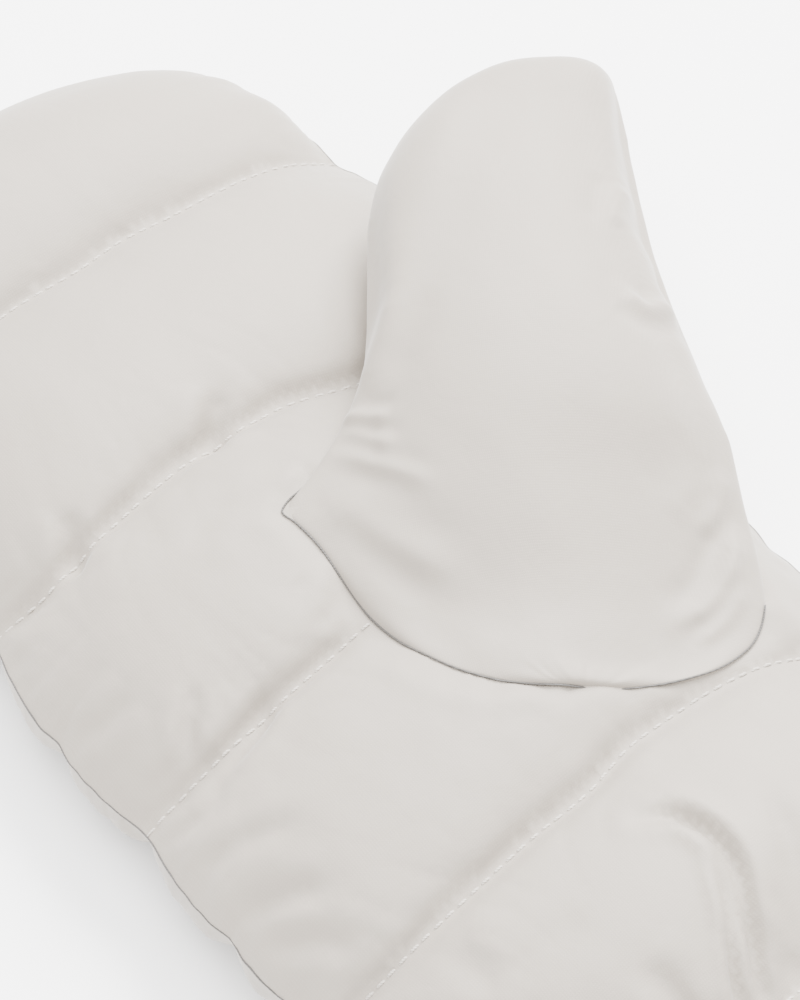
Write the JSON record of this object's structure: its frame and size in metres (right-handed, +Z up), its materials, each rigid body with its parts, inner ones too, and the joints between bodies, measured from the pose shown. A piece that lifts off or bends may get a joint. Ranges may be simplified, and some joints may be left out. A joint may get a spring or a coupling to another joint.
{
  "type": "ski mitten",
  "caption": "Insulated, channel-quilted snow mitten for the right hand, with a set-in thumb, an elastic gathered wrist and a flared cuff, lying palm up.",
  "frame": {"origin": "on the surface that the mitten rests on, on its centre line, under the third quilt line from the fingertips", "axes": "+Y towards the fingertips, +X towards the thumb side, +Z up out of the palm"},
  "size_m": [0.1448, 0.2972, 0.0645],
  "materials": {
    "shell_cloth": "matte, fine plain-woven nylon",
    "insulation": "soft polyester wadding",
    "lining_cloth": "brushed knit",
    "elastic": "ribbed knitted elastic",
    "thread": "twisted polyester sewing thread",
    "binding": "folded woven tape"
  },
  "bodies": {
    "hand": {"palm_shell": "shell_cloth", "back_shell": "shell_cloth", "gusset_shell": "shell_cloth", "wrist_gather_palm": "shell_cloth", "wrist_gather_back": "shell_cloth", "palm_fill_finger": "insulation", "palm_fill_knuckle": "insulation", "palm_fill_palm": "insulation", "palm_fill_wrist": "insulation", "back_fill_finger": "insulation", "back_fill_knuckle": "insulation", "back_fill_palm": "insulation", "back_fill_wrist": "insulation", "gusset_fill": "insulation", "palm_lining": "lining_cloth", "back_lining": "lining_cloth", "gusset_lining": "lining_cloth", "wrist_elastic": "elastic", "quilt_thread_tip": "thread", "quilt_thread_finger": "thread", "quilt_thread_palm": "thread", "quilt_thread_wrist": "thread"},
    "fingertip": {"tip_palm_shell": "shell_cloth", "tip_back_shell": "shell_cloth", "tip_palm_fill": "insulation", "tip_back_fill": "insulation", "tip_palm_lining": "lining_cloth", "tip_back_lining": "lining_cloth"},
    "thumb": {"thumb_front_shell": "shell_cloth", "thumb_back_shell": "shell_cloth", "thumb_front_fill": "insulation", "thumb_back_fill": "insulation", "thumb_front_lining": "lining_cloth", "thumb_back_lining": "lining_cloth"},
    "cuff": {"cuff_palm_shell": "shell_cloth", "cuff_back_shell": "shell_cloth", "cuff_palm_fill": "insulation", "cuff_back_fill": "insulation", "cuff_palm_lining": "lining_cloth", "cuff_back_lining": "lining_cloth", "hem_binding": "binding"}
  },
  "joints": [
    {"name": "fingertip_curl", "type": "hinge", "parent": "hand", "child": "fingertip", "pos_m": [0, 0.09, 0.034], "axis": [1, 0, 0], "range_deg": [0, 45]},
    {"name": "thumb_lift", "type": "hinge", "parent": "hand", "child": "thumb", "pos_m": [0.02418, 0.00026, 0.04146], "axis": [0.809, -0.5878, 0], "range_deg": [0, 45]},
    {"name": "cuff_flex", "type": "hinge", "parent": "hand", "child": "cuff", "pos_m": [0, -0.096, 0.018], "axis": [1, 0, 0], "range_deg": [-30, 30]}
  ]
}
